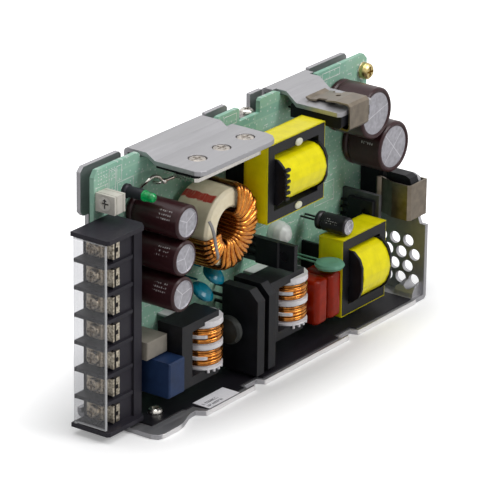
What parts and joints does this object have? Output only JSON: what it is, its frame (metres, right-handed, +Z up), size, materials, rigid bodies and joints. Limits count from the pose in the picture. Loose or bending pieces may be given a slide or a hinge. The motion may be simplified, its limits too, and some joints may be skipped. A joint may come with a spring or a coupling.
{
  "type": "switching power supply",
  "caption": "Open-frame switching power supply: folded aluminium tray with a populated circuit board, heat-sink tabs and an end terminal block under a clear hinged cover.",
  "frame": {"origin": "middle of the flange's underside", "axes": "+X along the length towards the perforated end plate, +Y through the depth towards the back plate, +Z up from the flange"},
  "size_m": [0.1609, 0.032, 0.0825],
  "materials": {
    "beige_box": "satin",
    "black_epoxy": "matte",
    "black_sleeve": "gloss",
    "block_plastic": "matte",
    "blue_box": "satin",
    "brown_sleeve": "gloss",
    "circuit_board": "satin",
    "clear_plastic": "gloss",
    "coated_core": "matte",
    "copper_wire": "gloss",
    "dark_plate": "satin",
    "ferrite": "matte",
    "gray_disc": "matte",
    "green_disc": "satin",
    "insulating_film": "matte",
    "lamp_plastic": "gloss",
    "plated_steel": "satin",
    "red_dip": "gloss",
    "rotor_plastic": "matte",
    "sheet_metal": "satin",
    "spring_steel": "satin",
    "teal_drop": "gloss",
    "trimmer_plastic": "matte",
    "white_plastic": "satin",
    "white_sealant": "satin",
    "yellow_brass": "satin",
    "yellow_tape": "satin"
  },
  "bodies": {
    "supply": {"beige_capacitor": "beige_box", "blue_capacitor": "blue_box", "board_screws": "yellow_brass", "board_standoffs": "plated_steel", "board_washers": "plated_steel", "bridge_rectifier": "black_epoxy", "bulk_capacitor_1": "black_sleeve", "bulk_capacitor_2": "black_sleeve", "chassis": "sheet_metal", "choke_1_core": "ferrite", "choke_1_spool": "white_plastic", "choke_1_winding": "copper_wire", "choke_2_core": "ferrite", "choke_2_spool": "white_plastic", "choke_2_winding": "copper_wire", "clamped_device": "black_epoxy", "cover_screw": "plated_steel", "disc_capacitor": "green_disc", "end_device": "black_epoxy", "film_capacitors": "red_dip", "flange_insulation": "insulating_film", "flange_screw": "plated_steel", "lamp": "lamp_plastic", "lamp_holder": "block_plastic", "main_board": "circuit_board", "main_transformer_core": "ferrite", "main_transformer_former": "black_epoxy", "main_transformer_tape": "yellow_tape", "main_transformer_winding": "yellow_tape", "output_capacitor_1": "brown_sleeve", "output_capacitor_2": "brown_sleeve", "output_capacitor_3": "brown_sleeve", "plate_device": "black_epoxy", "press_plate": "plated_steel", "right_device": "black_epoxy", "right_sink": "dark_plate", "sealant_bead": "white_sealant", "side_device": "black_epoxy", "side_sink": "dark_plate", "small_capacitor": "black_sleeve", "small_transformer_core": "ferrite", "small_transformer_former": "black_epoxy", "small_transformer_tape": "yellow_tape", "small_transformer_winding": "yellow_tape", "spring_clip_1": "spring_steel", "spring_clip_2": "spring_steel", "tab_devices": "black_epoxy", "tab_screws": "plated_steel", "terminal_block": "block_plastic", "terminal_plates": "plated_steel", "terminal_screws": "plated_steel", "terminal_washers": "plated_steel", "thermistor": "gray_disc", "toroid_core": "coated_core", "toroid_second_winding": "copper_wire", "toroid_winding": "copper_wire", "trimmer_body": "trimmer_plastic", "y_capacitors": "teal_drop"},
    "terminal_cover": {"terminal_cover": "clear_plastic"},
    "trimmer_rotor": {"trimmer_rotor": "rotor_plastic"}
  },
  "joints": [
    {"name": "cover_hinge", "type": "hinge", "parent": "supply", "child": "terminal_cover", "pos_m": [-0.0849, 0.0077, 0.035], "axis": [0, 0, -1], "range_deg": [0, 100]},
    {"name": "trimmer_turn", "type": "hinge", "parent": "supply", "child": "trimmer_rotor", "pos_m": [-0.0733, 0.0056, 0.07265], "axis": [-1, 0, 0], "range_deg": [-120, 120]}
  ]
}
